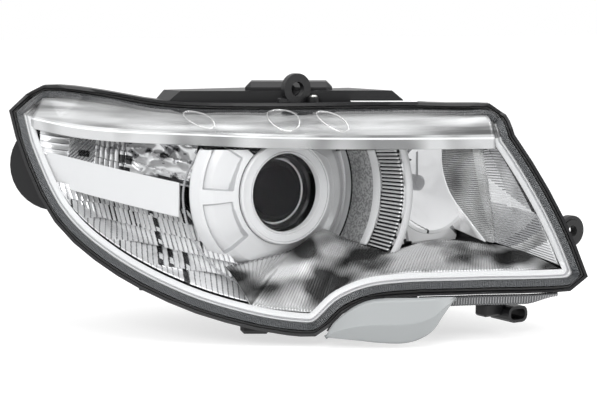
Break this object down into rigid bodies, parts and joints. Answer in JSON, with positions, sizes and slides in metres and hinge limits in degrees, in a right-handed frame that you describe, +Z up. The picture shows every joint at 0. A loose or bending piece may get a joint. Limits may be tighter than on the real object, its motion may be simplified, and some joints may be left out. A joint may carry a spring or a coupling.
{
  "type": "car headlight assembly",
  "caption": "Right-hand car headlight with a projector low beam, bowl high beam, turn signal, aiming gear, pull-off rear covers and a pop-out washer cover.",
  "frame": {"origin": "on the rear face of the upper fixing eye, above its hole", "axes": "-Y is the way the car drives and the lamp shines, +X points inboard to the car's middle, +Z up"},
  "size_m": [0.4998, 0.4494, 0.2651],
  "materials": {
    "black_plastic": "fine-grained moulded black",
    "clear_lens": "clear hard-coated polycarbonate",
    "rubber": "matt black rubber",
    "satin_silver": "satin silver-white lacquer",
    "chromed_trim": "bright metallised plastic",
    "grey_plastic": "grey gloss",
    "optical_glass": "polished optical glass",
    "bulb_glass": "clear bulb glass on a plated base",
    "amber_bulb": "silvered amber bulb",
    "plated_steel": "zinc-plated",
    "natural_nylon": "uncoloured nylon",
    "grey_primer": "matt grey primer, ready for paint",
    "white_label": "blank printed label"
  },
  "bodies": {
    "housing": {"housing": "black_plastic", "lens": "clear_lens", "lens_seal": "rubber", "bezel_border": "satin_silver", "visor": "grey_plastic", "projector_surround": "satin_silver", "projector_ring": "satin_silver", "floor_panel": "chromed_trim", "chamber_wall": "chromed_trim", "fluted_crescent": "chromed_trim", "arc_rib": "satin_silver", "fluted_blade": "chromed_trim", "side_panel": "chromed_trim", "turn_bar": "satin_silver", "turn_reflector_upper": "chromed_trim", "turn_reflector_lower": "chromed_trim", "dividing_rib": "clear_lens", "pivot_stud": "plated_steel", "levelling_motor": "black_plastic", "inboard_bush": "rubber", "lower_bracket": "black_plastic", "lower_flange": "clear_lens", "washer_guide": "black_plastic", "main_connector": "black_plastic", "breather_cap": "rubber", "label": "white_label", "roof_screw": "plated_steel", "parking_bulb_holder": "black_plastic", "parking_bulb": "bulb_glass"},
    "swing_pivot": {"pivot_socket": "natural_nylon"},
    "carrier": {"carrier_frame": "black_plastic", "lens_holder": "black_plastic", "projector_lens": "optical_glass", "projector_reflector": "chromed_trim", "cutoff_shield": "plated_steel", "low_beam_bulb": "bulb_glass", "low_bulb_plug": "natural_nylon", "high_beam_reflector": "chromed_trim", "high_beam_bulb": "bulb_glass", "high_bulb_plug": "natural_nylon", "high_bulb_hood": "grey_plastic", "levelling_socket": "natural_nylon", "side_socket": "natural_nylon"},
    "bulb_clip": {"low_bulb_clip": "plated_steel"},
    "levelling_rod": {"levelling_rod": "natural_nylon"},
    "vertical_adjuster": {"vertical_adjuster": "natural_nylon"},
    "side_adjuster": {"side_adjuster": "natural_nylon"},
    "side_stud": {"side_stud": "natural_nylon"},
    "low_cover": {"low_beam_cover": "black_plastic", "low_cover_seal": "rubber"},
    "high_cover": {"high_beam_cover": "black_plastic", "high_cover_seal": "rubber"},
    "turn_holder": {"turn_bulb_holder": "black_plastic", "turn_bulb": "amber_bulb"},
    "washer": {"washer_cover": "grey_primer", "washer_ram": "natural_nylon"}
  },
  "joints": [
    {"name": "beam_swing", "type": "hinge", "parent": "housing", "child": "swing_pivot", "pos_m": [0.072, 0.0185, -0.05865], "axis": [0, 0, 1], "range_deg": [-2, 2]},
    {"name": "beam_tilt", "type": "hinge", "parent": "swing_pivot", "child": "carrier", "pos_m": [0.072, 0.0185, -0.05865], "axis": [1, 0, 0], "range_deg": [-2.5, 2.5]},
    {"name": "vertical_adjuster_spin", "type": "hinge", "parent": "housing", "child": "vertical_adjuster", "pos_m": [0.072, 0.0965, -0.13365], "axis": [0, 1, 0], "range_deg": [-181, 181]},
    {"name": "levelling_rod_slide", "type": "slide", "parent": "housing", "child": "levelling_rod", "axis": [0, 1, 0], "range_m": [-0.0033, 0.0033]},
    {"name": "side_adjuster_spin", "type": "hinge", "parent": "housing", "child": "side_adjuster", "pos_m": [0.184, 0.0615, -0.05865], "axis": [0, 1, 0], "range_deg": [-181, 181]},
    {"name": "side_stud_slide", "type": "slide", "parent": "housing", "child": "side_stud", "axis": [0, 1, 0], "range_m": [-0.004, 0.004]},
    {"name": "bulb_clip_swing", "type": "hinge", "parent": "carrier", "child": "bulb_clip", "pos_m": [-0.0315, 0.08238, -0.13765], "axis": [1, 0, 0], "range_deg": [-70, 0]},
    {"name": "low_cover_pull", "type": "slide", "parent": "housing", "child": "low_cover", "axis": [0, 1, 0], "range_m": [0, 0.03]},
    {"name": "high_cover_pull", "type": "slide", "parent": "housing", "child": "high_cover", "axis": [0, 1, 0], "range_m": [0, 0.03]},
    {"name": "turn_holder_twist", "type": "hinge", "parent": "housing", "child": "turn_holder", "pos_m": [-0.12169, 0.14753, -0.11065], "axis": [0.5446, 0.8387, 0], "range_deg": [-40, 0]},
    {"name": "washer_slide", "type": "slide", "parent": "housing", "child": "washer", "axis": [-0.5446, -0.8387, 0], "range_m": [0, 0.04]}
  ],
  "couplings": [
    {"joint": "vertical_adjuster_spin", "follows": "beam_tilt", "ratio": 72},
    {"joint": "levelling_rod_slide", "follows": "beam_tilt", "m_per_rad": 0.075},
    {"joint": "side_adjuster_spin", "follows": "beam_swing", "ratio": 90},
    {"joint": "side_stud_slide", "follows": "beam_swing", "m_per_rad": 0.112}
  ]
}
